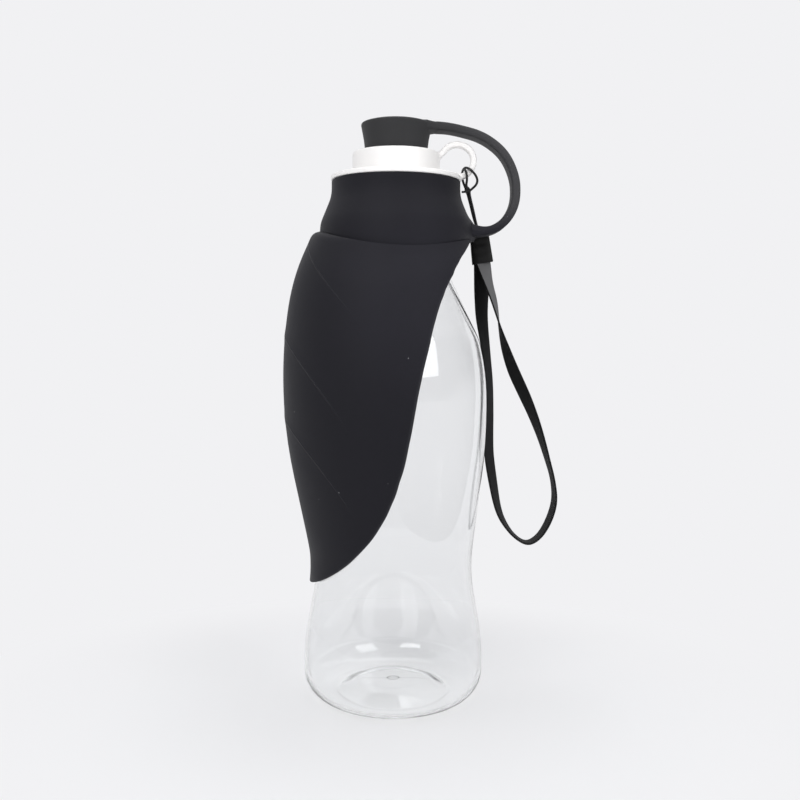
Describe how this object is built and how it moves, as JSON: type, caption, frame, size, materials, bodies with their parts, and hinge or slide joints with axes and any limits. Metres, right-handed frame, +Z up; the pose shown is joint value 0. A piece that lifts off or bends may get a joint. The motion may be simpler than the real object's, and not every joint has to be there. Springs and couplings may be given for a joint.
{
  "type": "dog travel water bottle",
  "caption": "Clear waisted water bottle for dogs with a screw cap and spout, a soft stopper on a carry strap, a wrist lanyard and a long leaf that turns up to become a drinking bowl.",
  "frame": {"origin": "centre of the bottle's foot, on the surface it stands on", "axes": "+Z up along the bottle's axis; -X towards the leaf's keel; +X towards the carry strap and the lanyard; +Y is the side the lanyard hangs on"},
  "size_m": [0.1153, 0.086, 0.2344],
  "materials": {
    "clear_plastic": "clear blow-moulded PET, glossy",
    "gasket_rubber": "soft translucent white sealing washer",
    "white_plastic": "white injection-moulded plastic, satin",
    "dark_silicone": "near-black matte silicone",
    "grey_silicone": "charcoal matte silicone",
    "black_cord": "thin braided black cord",
    "black_plastic": "black plastic, satin",
    "black_webbing": "flat woven black ribbon with a sheen"
  },
  "bodies": {
    "bottle": {"bottle": "clear_plastic"},
    "seal": {"neck_gasket": "gasket_rubber"},
    "cap": {"screw_cap": "white_plastic", "sleeve_collar": "dark_silicone", "carry_strap": "grey_silicone", "lanyard_cord": "black_cord", "crimp_ferrule": "black_plastic", "wrist_strap": "black_webbing"},
    "leaf": {"leaf_bowl": "dark_silicone"},
    "stopper": {"stopper": "grey_silicone"}
  },
  "joints": [
    {"name": "cap_rise", "type": "slide", "parent": "bottle", "child": "seal", "axis": [0, 0, 1], "range_m": [0, 0.006]},
    {"name": "cap_turn", "type": "hinge", "parent": "seal", "child": "cap", "pos_m": [0, 0, 0.2], "axis": [0, 0, 1], "range_deg": [0, 540]},
    {"name": "leaf_flip", "type": "hinge", "parent": "cap", "child": "leaf", "pos_m": [0, 0, 0.188], "axis": [1, 0, 0], "range_deg": [0, 180], "deforming": ["leaf_bowl"]},
    {"name": "stopper_pull", "type": "slide", "parent": "cap", "child": "stopper", "axis": [0, 0, 1], "range_m": [0, 0.016], "deforming": ["carry_strap"]}
  ],
  "couplings": [
    {"joint": "cap_rise", "follows": "cap_turn", "m_per_rad": 0.000636}
  ]
}
